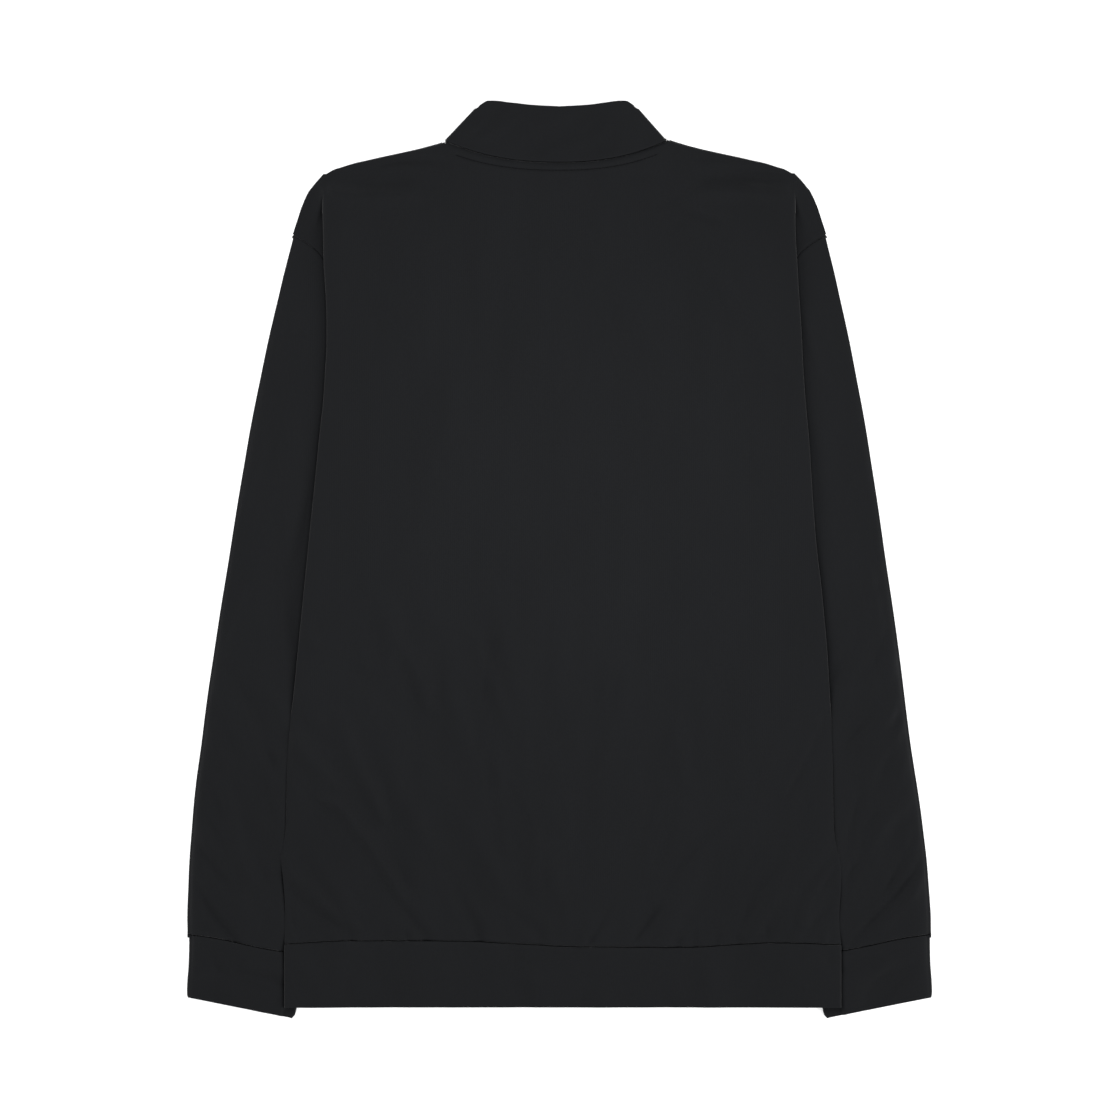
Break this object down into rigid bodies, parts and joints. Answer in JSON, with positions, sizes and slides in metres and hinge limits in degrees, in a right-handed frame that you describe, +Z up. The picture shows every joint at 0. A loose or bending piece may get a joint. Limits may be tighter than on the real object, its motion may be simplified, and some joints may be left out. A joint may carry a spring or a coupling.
{
  "type": "track jacket",
  "caption": "Zip-up track jacket with stand collar and long sleeves, lying face down and laid out flat with its sleeves along its sides.",
  "frame": {"origin": "on the surface it lies on, under the middle of the whole jacket", "axes": "+X across the jacket to the wearer's right as it lies face down, +Y from hem to collar, +Z up out of the surface, so the back of the jacket faces +Z"},
  "size_m": [0.6248, 0.7703, 0.0103],
  "materials": {
    "back_cloth": "charcoal polyester tricot",
    "front_cloth_left": "charcoal polyester tricot",
    "front_cloth_right": "charcoal polyester tricot",
    "sleeve_cloth_left": "charcoal polyester tricot",
    "sleeve_cloth_right": "charcoal polyester tricot",
    "cuff_cloth_left": "charcoal polyester tricot, doubled",
    "cuff_cloth_right": "charcoal polyester tricot, doubled",
    "band_cloth": "charcoal polyester tricot, doubled",
    "collar_cloth": "charcoal polyester tricot, doubled",
    "zip_tape_left": "charcoal woven polyester tape",
    "zip_tape_right": "charcoal woven polyester tape",
    "zip_chain": "black coil zip",
    "slider_enamel": "black enamel",
    "tab_enamel": "black enamel"
  },
  "bodies": {
    "jacket": {"back_panel": "back_cloth", "front_left": "front_cloth_left", "front_right": "front_cloth_right", "sleeve_left": "sleeve_cloth_left", "sleeve_right": "sleeve_cloth_right", "cuff_left": "cuff_cloth_left", "cuff_right": "cuff_cloth_right", "hem_band": "band_cloth", "collar": "collar_cloth", "zip_tape_left": "zip_tape_left", "zip_tape_right": "zip_tape_right", "zip_chain": "zip_chain", "zip_slider": "slider_enamel"},
    "pull_tab": {"zip_pull_tab": "tab_enamel"}
  },
  "joints": [
    {"name": "pull_tab_swing", "type": "hinge", "parent": "jacket", "child": "pull_tab", "pos_m": [0, 0.3214, 0.00155], "axis": [1, 0, 0], "range_deg": [0, 170]}
  ]
}
